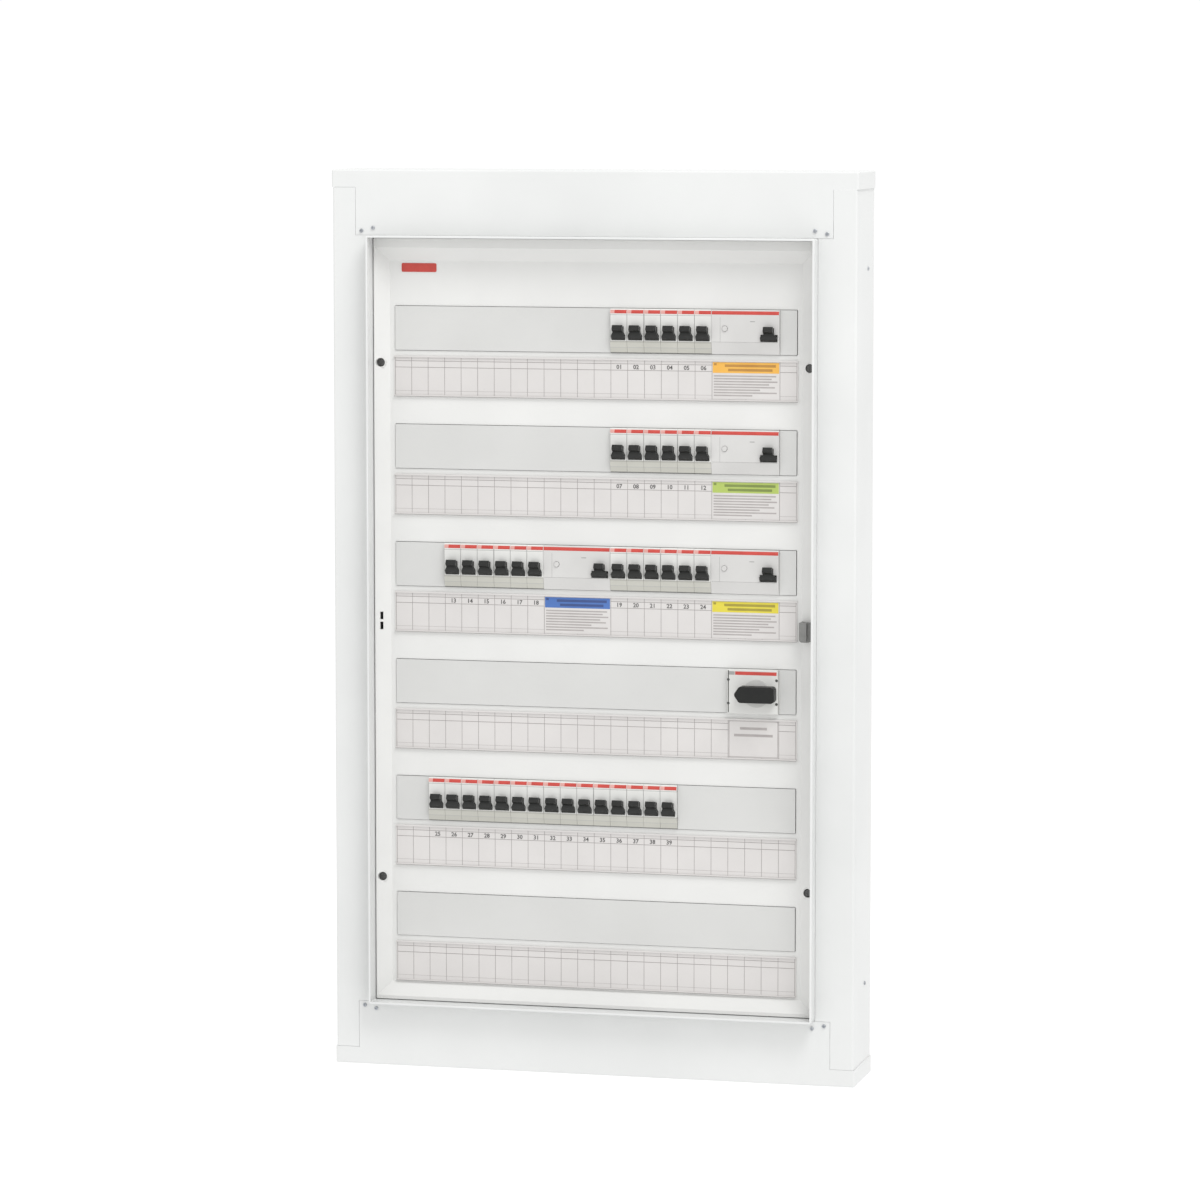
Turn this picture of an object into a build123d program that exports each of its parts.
from build123d import *

import os

# Wall-mounted distribution board: a steel enclosure with a trim surround, a dished front cover
# with six rows of modules, and the switchgear on its rails.
#
# Millimetres. X runs to the right, Y runs back into the wall and Z runs up. The origin is the centre
# of the enclosure's back face, so a depth is a distance in front of the wall, towards -Y.

os.makedirs("parts", exist_ok=True)

# Rows of modules
module = 17.5
modules_per_row = 24
row_count = 6
row_pitch = 121.0
mcb_modules = {1: range(14, 20), 2: range(14, 20), 3: [*range(4, 10), *range(14, 20)], 5: range(3, 18)}
rcd_modules = {1: [20], 2: [20], 3: [10, 20]}
rcd_span = 4
switch_row = 4
switch_module = 21
switch_span = 3

# Enclosure box
side_margin = 23.0
end_margin = 65.0
first_row_drop = 94.7
box_depth = 104.0
box_rise = 18.0
box_sheet = 2.0
box_corner = 2.5
box_edge = 0.6
cable_entry = (150.0, 45.0)
cable_entry_x = 95.0
cable_entry_depth = 40.0
cable_entry_corner = 6.0
wall_hole_radius = 4.0
wall_hole_inset = (53.0, 65.5)

# Trim surround
surround_side = 41.0
surround_end = 66.5
surround_sheet = 1.2
surround_fold = 1.8
surround_lip = 15.0
cap_height = 17.8
side_flange = 25.5
seam_gap = 0.2
surround_fit = 0.2
tongue_height = 13.0
tongue_inset = 6.0
arm_inset = 31.5
arm_depth = 31.0
arm_length = 20.0
arm_flange = 16.0
ear_reach = 18.0
ear_sheet = 1.5
corner_screws = [(-3.0, 7.5), (9.3, 4.5)]
seam_overlap = 0.05

# Cover tray
cover_setback = 29.0
cover_sheet = 1.8
cover_rise = 10.0
cover_slope = 13.5
cover_panel_inset = 17.5
cover_panel_ends = (26.0, 20.0)
cover_gap = 0.8
cover_corner = 1.5
cover_edge = 0.5
opening_height = 46.0
opening_spare = 0.4
opening_corner = 1.0
well_radius = 4.5
well_inset = 9.0
well_height = 130.0
well_floor = 4.0
well_rise = 7.8
bracket_reach = 16.0
bracket_height = 20.0
bracket_sheet = 1.5
weld_depth = 0.5
catch_slot = (3.0, 8.0)
catch_bridge = 2.4
catch_side_gap = 0.3
catch_rim_gap = 1.4
catch_back_gap = 0.25
catch_proud = 6.0
catch_cover = 0.8
catch_round = 1.5
catch_corner = 3.0
catch_plug_fit = 0.3
catch_step = (4.0, 3.0)

# Rails and what stands behind them
shoulder_gap = 1.2
shoulder_to_rail = 44.0
rail_height = 35.0
rail_depth = 7.5
rail_channel = 27.0
rail_sheet = 1.0
rail_length = 440.0
upright_x = 200.0
upright_width = 25.0
upright_foot = 12.0
upright_sheet = 1.5
upright_end_gap = 20.0
upright_hole_inset = 15.0
bar_size = (9.0, 10.0)
bar_post_radius = 4.0
bar_standoff = 11.5
bar_inset = 30.0
loose_fit = 0.1

# Devices
body_gap = 0.2
body_height = 85.0
nose_height = 45.0
nose_proud = 5.0
nose_top_slant = (2.0, 3.5)
nose_low_slant = (3.0, 12.0)
rail_hook = 5.0
rail_notch_gap = 0.3
drum_radius = 7.5
drum_set_in = 3.5
drum_drop = 2.5
drum_clearance = 0.3
drum_side_gap = 0.2
toggle_tilt = 32.0
toggle_reach = 12.5
toggle_thickness = 5.5
toggle_round = 1.2
cheek_depth = 2.0
cheek_high = 6.0
cheek_gap = 0.3
mcb_drum_width = 14.0
mcb_handle_width = 10.4
mcb_shoulder = (1.5, 5.0)
rcd_drum_width = 17.2
rcd_handle_width = 9.8
rcd_toggle_inset = 10.6
rcd_foot = (7.4, 3.0)
rcd_shoulder = (2.3, 2.3)
button_radius = 2.7
button_clearance = 0.3
button_x = 14.0
button_rise = 3.5
button_proud = 1.2
button_length = 7.0
button_travel = 1.5
button_spare = 0.5
button_round = 0.5
switch_proud = 7.0
switch_edge = 0.8
switch_shaft_radius = 4.0
switch_shaft_fit = 0.08
switch_shaft_length = 10.0
switch_shaft_spare = 1.0
switch_axis_shift = 4.5
switch_axis_drop = 1.6
switch_disc = (14.0, 2.0)
switch_disc_gap = 0.4
lever_length = 41.6
lever_height = 16.4
lever_reach = 15.0
lever_point = 5.6
lever_corner = 3.6
lever_edge = 0.9
switch_mark = (1.5, 1.0)
switch_mark_place = (24.9, 12.0)

# Covers for empty modules and row labels
blank_height = 45.0
blank_proud = 1.2
blank_wall = 1.5
blank_leg = 6.0
blank_barb = 1.1
blank_end_gap = 0.15
strip_width = 422.0
strip_height = 41.5
strip_drop = 49.1
strip_base = 0.9
strip_lip = (1.5, 2.2)

# Fasteners: head radius, head height, shank radius
cover_screw = (4.1, 3.0, 2.0)
trim_screw = (2.0, 1.2, 1.5)
frame_screw = (4.2, 3.0, 2.4)
screw_clearance = 0.2
drive_depth = 1.0
drive_span = 1.3
drive_slot = 0.28
head_round = 0.35
screw_bite = 5.0
foot_screw_bite = 1.8

# Worked-out sizes
row_width = modules_per_row * module
box_width = row_width + 2 * side_margin
box_height = row_count * row_pitch + end_margin
surround_width = box_width + 2 * surround_side
surround_height = box_height + 2 * surround_end
surround_depth = box_depth - box_rise
seam_z = surround_height / 2 - cap_height
seam_x = surround_width / 2 - side_flange
cover_depth = box_depth - cover_setback
cover_back = cover_depth - cover_sheet
lip_width = box_width - 2 * (box_sheet + cover_gap)
lip_height = box_height - 2 * (box_sheet + cover_gap)
panel_width = box_width - 2 * cover_panel_inset
panel_height = box_height - sum(cover_panel_ends)
panel_z = (cover_panel_ends[1] - cover_panel_ends[0]) / 2
well_x = box_width / 2 - well_inset
well_z = box_height / 2 - well_height
shoulder = cover_back - shoulder_gap
rail_face = shoulder - shoulder_to_rail
rail_back = rail_face - rail_depth
upright_height = box_height - 2 * upright_end_gap
nose = cover_depth + nose_proud
pivot_depth = nose - drum_set_in
arm_z = box_height / 2 - arm_inset
foot_spacing = (2 * upright_x + upright_width + upright_foot, upright_height - 2 * upright_hole_inset)
both_sides = (-1, 1)
corners = [(x, z) for x in both_sides for z in both_sides]


def front(depth):
    """A plane that faces the front, this far in front of the wall, with X to the right and Z up."""
    return Plane.XZ.offset(depth)


def row_z(row):
    """Height of the centre line of a row's opening. Row 1 is the top one."""
    return box_height / 2 - first_row_drop - row_pitch * (row - 1)


def module_x(number):
    """Left edge of a module, counted from 1 at the left end of its row."""
    return (number - 1) * module - row_width / 2


def span_centre(row, first, count):
    """Centre of a device that fills some modules, as X and Z in its row."""
    return (module_x(first) + count * module / 2, row_z(row))


def empty_runs(row):
    """First module and length of each run of modules that no device fills."""
    filled = set(mcb_modules.get(row, []))
    for first in rcd_modules.get(row, []):
        filled |= set(range(first, first + rcd_span))
    if row == switch_row:
        filled |= set(range(switch_module, switch_module + switch_span))
    runs = []
    for number in range(1, modules_per_row + 1):
        if number in filled:
            continue
        if runs and runs[-1][0] + runs[-1][1] == number:
            runs[-1][1] += 1
        else:
            runs.append([number, 1])
    return runs


def place(x, z):
    """Location of a piece that was modelled about the origin and moves only along X and Z."""
    return Location((x, 0, z))


def device_case(width, drum_width, handle_width, shoulder_levels, toggle_x):
    """Case of a module device: shoulders under the cover, nose in the opening, and a notch for the rail.

    The pocket that the toggle's drum turns in stands toggle_x from the middle. Two cheeks close it on
    both sides of the handle, down to where the toggle's shoulders start and end.
    """
    top_in, top_down = nose_top_slant
    low_in, low_up = nose_low_slant
    half_nose = nose_height / 2
    half_body = body_height / 2
    half_notch = rail_height / 2 + rail_notch_gap
    back = rail_face - rail_hook
    with BuildPart(mode=Mode.PRIVATE) as case:
        with BuildSketch(Plane.YZ):
            with BuildLine():
                Polyline(
                    (-back, half_body),
                    (-shoulder, half_body),
                    (-shoulder, half_nose),
                    (-(nose - top_in), half_nose),
                    (-nose, half_nose - top_down),
                    (-nose, low_up - half_nose),
                    (-(nose - low_in), -half_nose),
                    (-shoulder, -half_nose),
                    (-shoulder, -half_body),
                    (-back, -half_body),
                    (-back, -half_notch),
                    (-rail_face, -half_notch),
                    (-rail_face, half_notch),
                    (-back, half_notch),
                    close=True,
                )
            make_face()
        extrude(amount=(width - body_gap) / 2, both=True)
        with BuildSketch(Plane.YZ.offset(toggle_x)):
            with Locations((-pivot_depth, -drum_drop)):
                Circle(drum_radius + drum_clearance)
        extrude(amount=drum_width / 2 + drum_side_gap, both=True, mode=Mode.SUBTRACT)
        cheek_in = handle_width / 2 + cheek_gap
        cheek_out = drum_width / 2 + 2 * drum_side_gap
        cheek_top, cheek_foot = shoulder_levels
        with BuildSketch(front(nose)):
            for side in both_sides:
                with BuildLine():
                    Polyline(
                        (toggle_x + side * cheek_in, cheek_high),
                        (toggle_x + side * cheek_in, -cheek_top),
                        (toggle_x + side * cheek_out, -cheek_foot),
                        (toggle_x + side * cheek_out, cheek_high),
                        close=True,
                    )
                make_face()
        extrude(amount=-cheek_depth)
    return case.part


def toggle_sides(drum_width):
    """Toggle seen from the side, as wide as its drum, with the handle tilted up to the on position."""
    with BuildPart(mode=Mode.PRIVATE) as sides:
        with BuildSketch(Plane.YZ):
            with Locations(Location((-pivot_depth, -drum_drop), -toggle_tilt)):
                Circle(drum_radius)
                with Locations((-toggle_reach / 2, 0)):
                    Rectangle(toggle_reach, toggle_thickness)
        extrude(amount=drum_width / 2, both=True)
        fillet(sides.edges().filter_by(Axis.X).sort_by(Axis.Y)[:2], radius=toggle_round)
    return sides.part


def screw(size, length):
    """Pan-head screw with a crossed recess, along -Y from the face that its head rests on."""
    head_radius, head_height, shank_radius = size
    with BuildPart(mode=Mode.PRIVATE) as made:
        with BuildSketch(front(0)):
            Circle(head_radius)
        extrude(amount=head_height)
        fillet(made.edges().sort_by(Axis.Y)[0], radius=head_height * head_round)
        with BuildSketch(front(0)):
            Circle(shank_radius)
        extrude(amount=-length)
        with BuildSketch(front(head_height)):
            Rectangle(head_radius * drive_span, head_radius * drive_slot)
            Rectangle(head_radius * drive_slot, head_radius * drive_span)
        extrude(amount=-drive_depth, mode=Mode.SUBTRACT)
    return made.part


# Enclosure: a folded box, open at the front, that stands in front of the surround
with BuildPart() as enclosure_box:
    with BuildSketch(front(0)):
        RectangleRounded(box_width, box_height, box_corner)
    extrude(amount=box_depth)
    with BuildSketch(front(box_sheet)):
        RectangleRounded(box_width - 2 * box_sheet, box_height - 2 * box_sheet, box_corner - box_sheet)
    extrude(amount=box_depth, mode=Mode.SUBTRACT)
    fillet(enclosure_box.faces().sort_by(Axis.Y)[0].outer_wire().edges(), radius=box_edge)
    # Ears behind the surround's corners
    with BuildSketch(front(surround_depth - surround_sheet - ear_sheet)):
        with Locations(*[(x * box_width / 2, z * box_height / 2) for x, z in corners]):
            Rectangle(2 * ear_reach, 2 * ear_reach)
        Rectangle(box_width - 2 * box_sheet, box_height - 2 * box_sheet, mode=Mode.SUBTRACT)
    extrude(amount=ear_sheet)
    with BuildSketch(front(surround_depth - surround_sheet - ear_sheet)):
        for x, z in corners:
            for across, up in corner_screws:
                with Locations((x * (box_width / 2 + across), z * (box_height / 2 + up))):
                    Circle(trim_screw[2] + screw_clearance)
    extrude(amount=ear_sheet, mode=Mode.SUBTRACT)
    # Arms out to the surround's side panels
    with BuildSketch(front(arm_depth - arm_length / 2)):
        for x, z in corners:
            reach = surround_side - 2 * surround_sheet
            with Locations((x * (box_width / 2 + reach / 2 - box_sheet / 4), z * (arm_z - arm_flange / 2))):
                Rectangle(reach + box_sheet / 2, ear_sheet)
            with Locations((x * (box_width / 2 + reach - ear_sheet / 2), z * arm_z)):
                Rectangle(ear_sheet, arm_flange + ear_sheet)
    extrude(amount=arm_length)
    with BuildSketch(Plane.YZ):
        with Locations((-arm_depth, arm_z), (-arm_depth, -arm_z)):
            Circle(trim_screw[2] + screw_clearance)
    extrude(amount=surround_width / 2, both=True, mode=Mode.SUBTRACT)
    # Brackets that the cover rests on
    with BuildSketch(front(cover_back - bracket_sheet)):
        for x, z in corners:
            with Locations((x * (box_width / 2 - (bracket_reach + box_sheet) / 2), z * well_z)):
                Rectangle(bracket_reach + box_sheet - 2 * weld_depth, bracket_height)
            with Locations((x * well_x, z * well_z)):
                Circle(cover_screw[2] + screw_clearance, mode=Mode.SUBTRACT)
    extrude(amount=bracket_sheet)
    # Cable entries in the top and bottom walls, and the holes in the back
    with BuildSketch(Plane.XY):
        with Locations((-cable_entry_x, -cable_entry_depth), (cable_entry_x, -cable_entry_depth)):
            RectangleRounded(*cable_entry, cable_entry_corner)
    extrude(amount=box_height, both=True, mode=Mode.SUBTRACT)
    with BuildSketch(front(0)):
        with GridLocations(box_width - 2 * wall_hole_inset[0], box_height - 2 * wall_hole_inset[1], 2, 2):
            Circle(wall_hole_radius)
        with GridLocations(*foot_spacing, 2, 2):
            Circle(frame_screw[2] + screw_clearance)
    extrude(amount=box_sheet, mode=Mode.SUBTRACT)
enclosure_box.part.label = "enclosure_box"
export_step(enclosure_box.part, "parts/enclosure_box.step")

# Surround, top and bottom caps: folded sheet that wraps over the ends of the side panels
with BuildPart() as surround_caps:
    cap_low = box_height / 2 + surround_fit
    cap_top = surround_height / 2
    with BuildSketch(front(0)):
        with Locations((0, (cap_low + cap_top) / 2)):
            Rectangle(surround_width, cap_top - cap_low)
    extrude(amount=surround_depth)
    face_edges = surround_caps.faces().sort_by(Axis.Y)[0].edges().sort_by(Axis.Z)[1:]
    fillet(face_edges + surround_caps.edges().filter_by(Axis.Y).group_by(Axis.Z)[-1], radius=surround_fold)
    with BuildSketch(front(0)):
        with Locations((0, (cap_low + cap_top) / 2 - surround_sheet)):
            Rectangle(surround_width - 2 * surround_sheet, cap_top - cap_low)
    extrude(amount=surround_depth - surround_sheet, mode=Mode.SUBTRACT)
    with BuildSketch(front(0)):
        for x in both_sides:
            with Locations((x * (seam_x + side_flange / 2), (cap_low + seam_z) / 2)):
                Rectangle(side_flange + 2 * seam_overlap, seam_z - cap_low + 2 * seam_overlap)
    extrude(amount=surround_depth, mode=Mode.SUBTRACT)
    with BuildSketch(front(0)):
        with Locations((0, cap_top - surround_lip / 2)):
            Rectangle(surround_width - 4 * surround_lip, surround_lip - surround_fold)
        with Locations((0, cap_top - surround_fold)):
            Rectangle(surround_width - 4 * surround_lip, 2 * surround_sheet)
    extrude(amount=surround_sheet)
    with BuildSketch(front(surround_depth)):
        for x in both_sides:
            for across, up in corner_screws:
                with Locations((x * (box_width / 2 + across), box_height / 2 + up)):
                    Circle(trim_screw[2] + screw_clearance)
    extrude(amount=-surround_sheet, mode=Mode.SUBTRACT)
    mirror(about=Plane.XY)
surround_caps.part.label = "surround_caps"
export_step(surround_caps.part, "parts/surround_caps.step")

# Surround, side panels: an L of sheet with a tongue at each end that goes inside the caps
with BuildPart() as surround_sides:
    panel_in = box_width / 2 + surround_fit
    panel_out = surround_width / 2 - surround_sheet
    panel_top = seam_z - seam_gap
    with BuildSketch(front(0)):
        with Locations(((panel_in + panel_out) / 2, 0)):
            Rectangle(panel_out - panel_in, 2 * panel_top)
    extrude(amount=surround_depth)
    front_edges = surround_sides.edges().filter_by(Axis.Z).group_by(Axis.Y)[0]
    fillet(front_edges.sort_by(Axis.X)[-1], radius=surround_fold)
    with BuildSketch(front(0)):
        with Locations(((panel_in + panel_out) / 2 - surround_sheet, 0)):
            Rectangle(panel_out - panel_in, 2 * panel_top)
    extrude(amount=surround_depth - surround_sheet, mode=Mode.SUBTRACT)
    with BuildSketch(front(surround_depth)):
        for z in both_sides:
            notch = (seam_x + seam_gap - panel_in, panel_top - box_height / 2)
            with Locations((panel_in + notch[0] / 2, z * (panel_top - notch[1] / 2))):
                Rectangle(notch[0] + 2 * seam_overlap, notch[1] + 2 * seam_overlap)
    extrude(amount=-surround_sheet, mode=Mode.SUBTRACT)
    with BuildSketch(front(tongue_inset)):
        with Locations((panel_out - surround_sheet / 2, 0)):
            Rectangle(surround_sheet, 2 * (panel_top + tongue_height))
    extrude(amount=surround_depth - 2 * tongue_inset)
    with BuildSketch(front(0)):
        with Locations((panel_out - surround_lip / 2, 0)):
            Rectangle(surround_lip, 2 * (panel_top - surround_lip))
    extrude(amount=surround_sheet)
    with BuildSketch(Plane.YZ.offset(panel_out)):
        with Locations((-arm_depth, arm_z), (-arm_depth, -arm_z)):
            Circle(trim_screw[2] + screw_clearance)
    extrude(amount=-surround_sheet, mode=Mode.SUBTRACT)
    mirror(about=Plane.YZ)
surround_sides.part.label = "surround_sides"
export_step(surround_sides.part, "parts/surround_sides.step")

# Space behind the cover tray's rim, between its outer skirt and its sloped border
with BuildPart() as rim_space:
    with BuildSketch(front(0)):
        Rectangle(lip_width - 2 * cover_sheet, lip_height - 2 * cover_sheet)
    extrude(amount=cover_depth + cover_rise - cover_sheet)
    with BuildSketch(front(cover_back)):
        with Locations((0, panel_z)):
            Rectangle(panel_width + cover_sheet, panel_height + cover_sheet)
    with BuildSketch(front(cover_back + cover_rise)):
        with Locations((0, panel_z)):
            Rectangle(
                panel_width + 2 * cover_slope + cover_sheet, panel_height + 2 * cover_slope + cover_sheet
            )
    loft(mode=Mode.SUBTRACT)
    with BuildSketch(front(0)):
        Rectangle(box_width, box_height)
    extrude(amount=cover_back, mode=Mode.SUBTRACT)

# Front cover: a dished tray with a slot for each row, wells for its screws and slots for a door catch
with BuildPart() as cover_tray:
    with BuildSketch(front(cover_back)):
        RectangleRounded(lip_width, lip_height, cover_corner)
    extrude(amount=cover_sheet + cover_rise)
    fillet(cover_tray.faces().sort_by(Axis.Y)[0].edges(), radius=cover_edge)
    with BuildSketch(front(cover_depth)):
        with Locations((0, panel_z)):
            Rectangle(panel_width, panel_height)
    with BuildSketch(front(cover_depth + cover_rise)):
        with Locations((0, panel_z)):
            Rectangle(panel_width + 2 * cover_slope, panel_height + 2 * cover_slope)
    loft(mode=Mode.SUBTRACT)
    add(rim_space.part, mode=Mode.SUBTRACT)
    with BuildSketch(front(cover_back)):
        with Locations(*[(x * well_x, z * well_z) for x, z in corners]):
            Circle(well_radius + cover_sheet / 2)
    extrude(amount=well_rise)
    with BuildSketch(front(cover_back + well_floor)):
        with Locations(*[(x * well_x, z * well_z) for x, z in corners]):
            Circle(well_radius)
    extrude(amount=cover_rise + cover_sheet, mode=Mode.SUBTRACT)
    with BuildSketch(front(cover_back)):
        with Locations(*[(x * well_x, z * well_z) for x, z in corners]):
            Circle(cover_screw[2] + screw_clearance)
        for row in range(1, row_count + 1):
            with Locations((0, row_z(row))):
                RectangleRounded(row_width + 2 * opening_spare, opening_height, opening_corner)
        with Locations(*[(x * well_x, z * (catch_slot[1] + catch_bridge) / 2) for x, z in corners]):
            Rectangle(*catch_slot)
    extrude(amount=box_depth, mode=Mode.SUBTRACT)
cover_tray.part.label = "cover_tray"
export_step(cover_tray.part, "parts/cover_tray.step")

# Door catch: a moulded block that plugs into the slots in the cover's right border
with BuildPart() as door_catch:
    catch_left = panel_width / 2 + catch_side_gap
    catch_right = panel_width / 2 + cover_slope - catch_rim_gap
    slope = cover_rise / cover_slope
    catch_back = -(cover_depth + (catch_right - panel_width / 2) * slope + catch_back_gap)
    catch_front = -(cover_depth + cover_rise + catch_proud)
    with BuildSketch(Plane.XY):
        with BuildLine():
            Polyline(
                (catch_left, catch_front),
                (catch_right, catch_front),
                (catch_right, catch_back),
                (catch_left, catch_back + (catch_right - catch_left) * slope),
                close=True,
            )
        make_face()
    extrude(amount=catch_slot[1] + catch_bridge / 2 + catch_cover, both=True)
    fillet(door_catch.edges().filter_by(Axis.Z).group_by(Axis.Y)[0], radius=catch_round)
    fillet(door_catch.edges().filter_by(Axis.Y).group_by(Axis.Z)[0].sort_by(Axis.X)[0], radius=catch_corner)
    with BuildSketch(front(cover_depth + cover_rise)):
        with Locations(*[(well_x, z * (catch_slot[1] + catch_bridge) / 2) for z in both_sides]):
            Rectangle(catch_slot[0] - 2 * catch_plug_fit, catch_slot[1] - 2 * catch_plug_fit)
    extrude(amount=-cover_rise)
    with BuildSketch(front(-catch_front)):
        with Locations((catch_right, 0)):
            Rectangle(2 * catch_step[0], box_height)
    extrude(amount=-catch_step[1], mode=Mode.SUBTRACT)
door_catch.part.label = "door_catch"
export_step(door_catch.part, "parts/door_catch.step")

# Rails on two uprights, with an earth bar and a neutral bar on standoffs
with BuildPart() as rail_frame:
    rail_lip = (rail_height - rail_channel) / 2 + rail_sheet
    with BuildSketch(Plane.YZ):
        for row in range(1, row_count + 1):
            with Locations((-(rail_back + rail_sheet / 2), row_z(row))):
                Rectangle(rail_sheet, rail_channel)
            for z in both_sides:
                side_z = row_z(row) + z * (rail_channel - rail_sheet) / 2
                with Locations((-(rail_back + rail_depth / 2), side_z)):
                    Rectangle(rail_depth, rail_sheet)
                lip_z = row_z(row) + z * (rail_height - rail_lip) / 2
                with Locations((-(rail_face - rail_sheet / 2), lip_z)):
                    Rectangle(rail_sheet, rail_lip)
    extrude(amount=rail_length / 2, both=True)
    upright_front = rail_back - loose_fit
    upright_base = box_sheet
    with BuildSketch(Plane.XY):
        for x in both_sides:
            with Locations((x * upright_x, -(upright_front - upright_sheet / 2))):
                Rectangle(upright_width, upright_sheet)
            for side in both_sides:
                leg_x = x * upright_x + side * (upright_width - upright_sheet) / 2
                with Locations((leg_x, -(upright_front + upright_base) / 2)):
                    Rectangle(upright_sheet, upright_front - upright_base)
                foot_x = x * upright_x + side * (upright_width + upright_foot - upright_sheet) / 2
                with Locations((foot_x, -(upright_base + upright_sheet / 2))):
                    Rectangle(upright_foot + upright_sheet, upright_sheet)
    extrude(amount=upright_height / 2, both=True)
    with BuildSketch(front(upright_base)):
        with GridLocations(*foot_spacing, 2, 2):
            Circle(frame_screw[2] + screw_clearance)
    extrude(amount=upright_sheet, mode=Mode.SUBTRACT)
    with BuildSketch(front(upright_front - upright_sheet)):
        for row in range(1, row_count + 1):
            with Locations((-upright_x, row_z(row)), (upright_x, row_z(row))):
                Circle(frame_screw[2] + screw_clearance)
    extrude(amount=upright_sheet + loose_fit + rail_sheet, mode=Mode.SUBTRACT)
    bar_z = box_height / 2 - bar_inset
    with BuildSketch(front(rail_back + bar_standoff)):
        with Locations((0, bar_z), (0, -bar_z)):
            Rectangle(2 * upright_x + bar_size[1], bar_size[1])
    extrude(amount=bar_size[0])
    with BuildSketch(front(rail_back)):
        with Locations(*[(x * upright_x, z * bar_z) for x, z in corners]):
            Circle(bar_post_radius)
    extrude(amount=bar_standoff)
rail_frame.part.label = "rail_frame"
export_step(rail_frame.part, "parts/rail_frame.step")

# Miniature circuit breakers: one module wide, solid cases with a pocket for the toggle
mcb_case = device_case(module, mcb_drum_width, mcb_handle_width, mcb_shoulder, 0)
mcb_places = [(row, number) for row in mcb_modules for number in mcb_modules[row]]
with BuildPart() as mcb_bodies:
    with Locations(*[place(*span_centre(row, number, 1)) for row, number in mcb_places]):
        add(mcb_case)
mcb_bodies.part.label = "mcb_bodies"
export_step(mcb_bodies.part, "parts/mcb_bodies.step")

# Breaker toggle in the on position: narrow handle above, flared foot below
with BuildPart() as mcb_toggle:
    shoulder_top, shoulder_low = mcb_shoulder
    add(toggle_sides(mcb_drum_width))
    with BuildSketch(front(0)):
        with BuildLine():
            Polyline(
                (-mcb_handle_width / 2, 2 * drum_radius),
                (mcb_handle_width / 2, 2 * drum_radius),
                (mcb_handle_width / 2, -shoulder_top),
                (mcb_drum_width / 2, -shoulder_low),
                (mcb_drum_width / 2, -2 * drum_radius),
                (-mcb_drum_width / 2, -2 * drum_radius),
                (-mcb_drum_width / 2, -shoulder_low),
                (-mcb_handle_width / 2, -shoulder_top),
                close=True,
            )
        make_face()
    extrude(amount=box_depth, mode=Mode.INTERSECT)
for row, number in mcb_places:
    with BuildPart() as toggle:
        with Locations(place(*span_centre(row, number, 1))):
            add(mcb_toggle.part)
    toggle.part.label = f"mcb_toggle_r{row}_m{number:02d}"
    export_step(toggle.part, f"parts/{toggle.part.label}.step")

# Residual-current devices: four modules wide, with a toggle at the right and a test button
with BuildPart() as rcd_case:
    rcd_width = rcd_span * module
    toggle_x = rcd_width / 2 - rcd_toggle_inset
    add(device_case(rcd_width, rcd_drum_width, rcd_handle_width, rcd_shoulder, toggle_x))
    with BuildSketch(front(nose)):
        with Locations((button_x - rcd_width / 2, button_rise)):
            Circle(button_radius + button_clearance)
    extrude(amount=-(button_length - button_proud + button_travel + button_spare), mode=Mode.SUBTRACT)
rcd_places = [(row, first) for row in rcd_modules for first in rcd_modules[row]]
with BuildPart() as rcd_bodies:
    with Locations(*[place(*span_centre(row, first, rcd_span)) for row, first in rcd_places]):
        add(rcd_case.part)
rcd_bodies.part.label = "rcd_bodies"
export_step(rcd_bodies.part, "parts/rcd_bodies.step")

# Toggle of a residual-current device: a handle on a wide rounded foot
with BuildPart() as rcd_toggle:
    add(toggle_sides(rcd_drum_width))
    with BuildSketch(front(0)):
        foot_height, foot_corner = rcd_foot
        with Locations((0, -drum_drop - drum_radius + foot_height / 2)):
            RectangleRounded(rcd_drum_width, foot_height, foot_corner)
        with Locations((0, drum_radius / 2 - drum_drop)):
            Rectangle(rcd_handle_width, 3 * drum_radius)
    extrude(amount=box_depth, mode=Mode.INTERSECT)

# Test button: a round cap that is pushed in against its spring
with BuildPart() as rcd_button:
    with BuildSketch(front(nose + button_proud)):
        Circle(button_radius)
    extrude(amount=-button_length)
    fillet(rcd_button.edges().sort_by(Axis.Y)[0], radius=button_round)
for row, first in rcd_places:
    x, z = span_centre(row, first, rcd_span)
    with BuildPart() as toggle:
        with Locations(place(x + toggle_x, z)):
            add(rcd_toggle.part)
    toggle.part.label = f"rcd_toggle_r{row}_m{first:02d}"
    export_step(toggle.part, f"parts/{toggle.part.label}.step")
    with BuildPart() as button:
        with Locations(place(x + button_x - rcd_width / 2, z + button_rise)):
            add(rcd_button.part)
    button.part.label = f"rcd_button_r{row}_m{first:02d}"
    export_step(button.part, f"parts/{button.part.label}.step")

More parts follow.
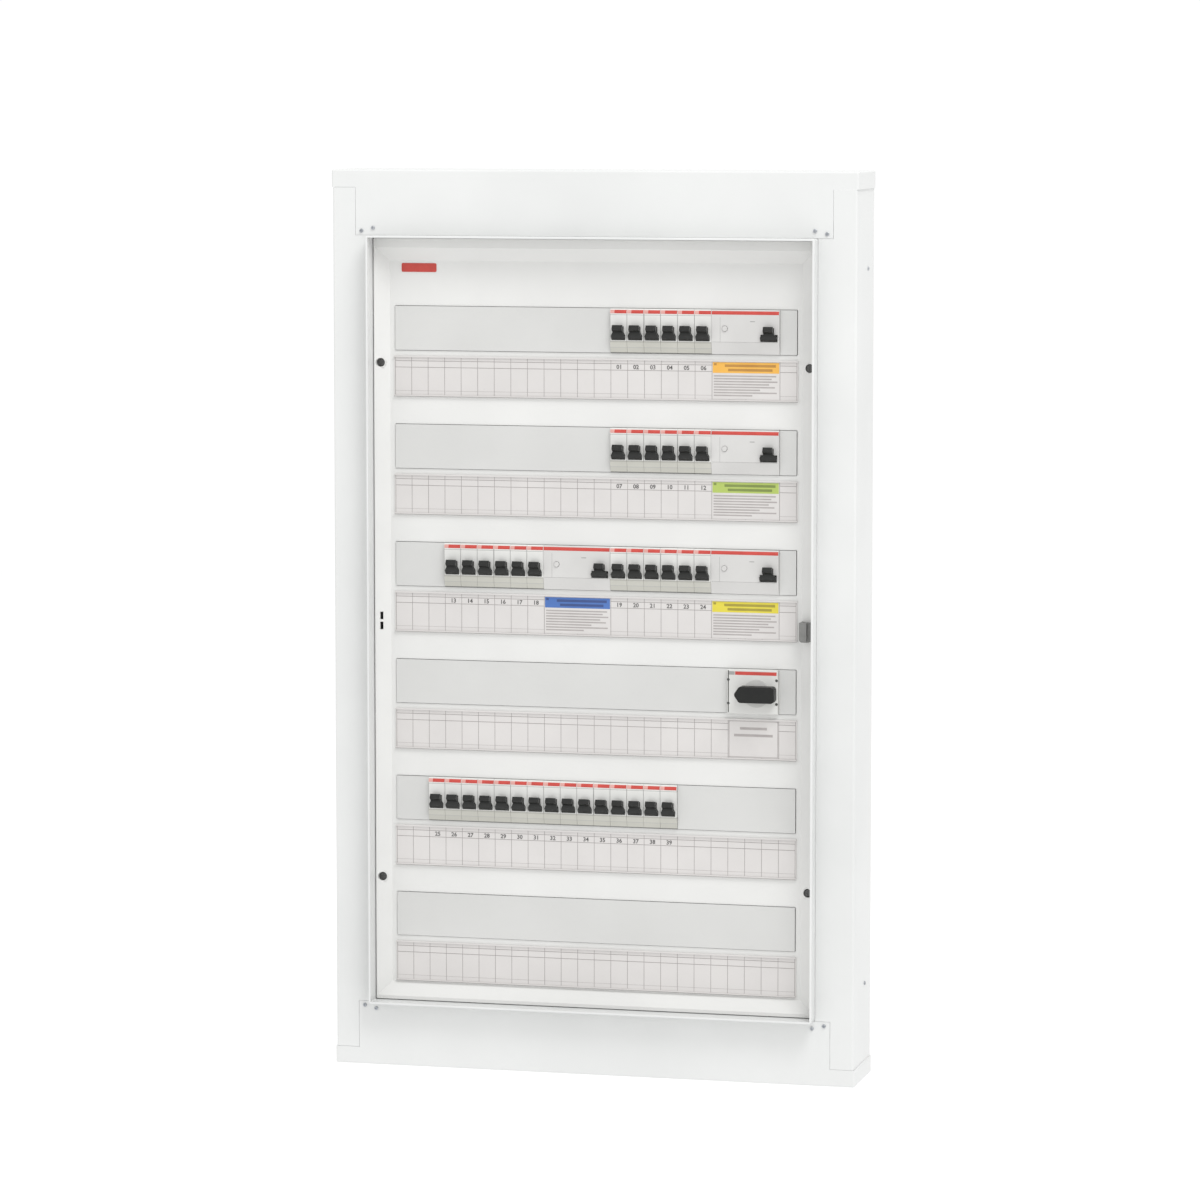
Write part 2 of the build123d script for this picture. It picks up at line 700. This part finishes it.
# Main switch: three modules wide, with a bore for the handle's shaft
switch_x, switch_z = span_centre(switch_row, switch_module, switch_span)
switch_face = cover_depth + switch_proud
axis_x = switch_x + switch_axis_shift
axis_z = switch_z - switch_axis_drop
with BuildPart() as switch_case:
    half_notch = rail_height / 2 + rail_notch_gap
    with BuildSketch(Plane.YZ):
        with Locations((-(rail_face - rail_hook + shoulder) / 2, 0)):
            Rectangle(shoulder - rail_face + rail_hook, body_height)
        with Locations((-(shoulder + switch_face) / 2, 0)):
            Rectangle(switch_face - shoulder, nose_height)
        with Locations((-(rail_face - rail_hook / 2), 0)):
            Rectangle(rail_hook, 2 * half_notch, mode=Mode.SUBTRACT)
    extrude(amount=(switch_span * module - body_gap) / 2, both=True)
    fillet(switch_case.faces().sort_by(Axis.Y)[0].edges(), radius=switch_edge)
    with BuildSketch(front(switch_face)):
        with Locations((switch_axis_shift, -switch_axis_drop)):
            Circle(switch_shaft_radius + switch_shaft_fit)
    extrude(amount=-(switch_shaft_length + switch_shaft_spare), mode=Mode.SUBTRACT)
    with BuildSketch(front(switch_face)):
        with Locations(*[(x * switch_mark_place[0], z * switch_mark_place[1]) for x, z in corners]):
            Circle(switch_mark[0])
    extrude(amount=-switch_mark[1], mode=Mode.SUBTRACT)
with BuildPart() as main_switch_body:
    with Locations(place(switch_x, switch_z)):
        add(switch_case.part)
main_switch_body.part.label = "main_switch_body"
export_step(main_switch_body.part, "parts/main_switch_body.step")

# Handle of the main switch: a lever on a disc, turned on its shaft, level when off
with BuildPart() as main_switch_handle:
    disc_radius, disc_thickness = switch_disc
    disc_back = switch_face + switch_disc_gap
    half_lever = lever_length / 2
    with BuildSketch(front(disc_back)):
        with Locations((axis_x, axis_z)):
            Circle(disc_radius)
    extrude(amount=disc_thickness)
    with BuildSketch(front(disc_back)):
        with Locations((axis_x, axis_z)):
            Circle(switch_shaft_radius)
    extrude(amount=-(switch_shaft_length + switch_disc_gap))
    lever_low = axis_z - lever_height / 2
    lever_high = axis_z + lever_height / 2
    with BuildSketch(front(disc_back + disc_thickness)) as lever_outline:
        with BuildLine():
            Polyline(
                (axis_x - half_lever, axis_z),
                (axis_x - half_lever + lever_point, lever_high),
                (axis_x + half_lever, lever_high),
                (axis_x + half_lever, lever_low),
                (axis_x - half_lever + lever_point, lever_low),
                close=True,
            )
        make_face()
        fillet(lever_outline.vertices(), radius=lever_corner)
    extrude(amount=lever_reach - disc_thickness)
    fillet(main_switch_handle.faces().sort_by(Axis.Y)[0].edges(), radius=lever_edge)
main_switch_handle.part.label = "main_switch_handle"
export_step(main_switch_handle.part, "parts/main_switch_handle.step")

# Blanking strips over the empty modules: a front plate with two legs that snap behind the cover
with BuildPart() as blanking_strips:
    for row in range(1, row_count + 1):
        for first, count in empty_runs(row):
            run_x, run_z = span_centre(row, first, count)
            barb_depth = cover_back - blank_barb
            with BuildSketch(Plane.YZ.offset(run_x)):
                with Locations((-(cover_depth + blank_proud - blank_wall / 2), run_z)):
                    Rectangle(blank_wall, blank_height)
                for z in both_sides:
                    leg_z = run_z + z * (blank_height - blank_wall) / 2
                    with Locations((-(cover_depth + blank_proud - blank_leg / 2 - blank_wall / 2), leg_z)):
                        Rectangle(blank_leg + blank_wall, blank_wall)
                    barb_z = run_z + z * (opening_height / 2)
                    with Locations((-(barb_depth - blank_barb / 2), barb_z - z * blank_barb / 4)):
                        Rectangle(blank_barb, 2 * blank_barb)
            extrude(amount=count * module / 2 - blank_end_gap, both=True)
blanking_strips.part.label = "blanking_strips"
export_step(blanking_strips.part, "parts/blanking_strips.step")

# Label strips: clear channels stuck on the cover under each row, which hold a paper card
with BuildPart() as label_strips:
    lip_tall, lip_deep = strip_lip
    with BuildSketch(Plane.YZ):
        for row in range(1, row_count + 1):
            strip_z = row_z(row) - strip_drop
            with Locations((-(cover_depth + strip_base / 2), strip_z)):
                Rectangle(strip_base, strip_height)
            for z in both_sides:
                lip_z = strip_z + z * (strip_height - lip_tall) / 2
                with Locations((-(cover_depth + lip_deep / 2), lip_z)):
                    Rectangle(lip_deep, lip_tall)
    extrude(amount=strip_width / 2, both=True)
label_strips.part.label = "label_strips"
export_step(label_strips.part, "parts/label_strips.step")

# Fasteners: cover, surround, rail and upright screws
with BuildPart() as screws:
    with Locations(*[Location((x * well_x, -(cover_back + well_floor), z * well_z)) for x, z in corners]):
        add(screw(cover_screw, well_floor + bracket_sheet + screw_bite))
    trim_length = surround_sheet + ear_sheet + screw_bite
    trim_places = []
    for x, z in corners:
        for across, up in corner_screws:
            trim_places.append((x * (box_width / 2 + across), -surround_depth, z * (box_height / 2 + up)))
    with Locations(*trim_places):
        add(screw(trim_screw, trim_length))
    for x, z in corners:
        side_place = (x * (surround_width / 2 - surround_sheet), -arm_depth, z * arm_z)
        with Locations(Location(side_place, (0, 0, x * 90))):
            add(screw(trim_screw, trim_length))
    rail_places = [
        (x * upright_x, -(rail_back + rail_sheet), row_z(row))
        for row in range(1, row_count + 1)
        for x in both_sides
    ]
    with Locations(*rail_places):
        add(screw(frame_screw, rail_sheet + upright_sheet + screw_bite))
    foot_x, foot_z = (spacing / 2 for spacing in foot_spacing)
    with Locations(*[(x * foot_x, -(box_sheet + upright_sheet), z * foot_z) for x, z in corners]):
        add(screw(frame_screw, upright_sheet + foot_screw_bite))
screws.part.label = "screws"
export_step(screws.part, "parts/screws.step")
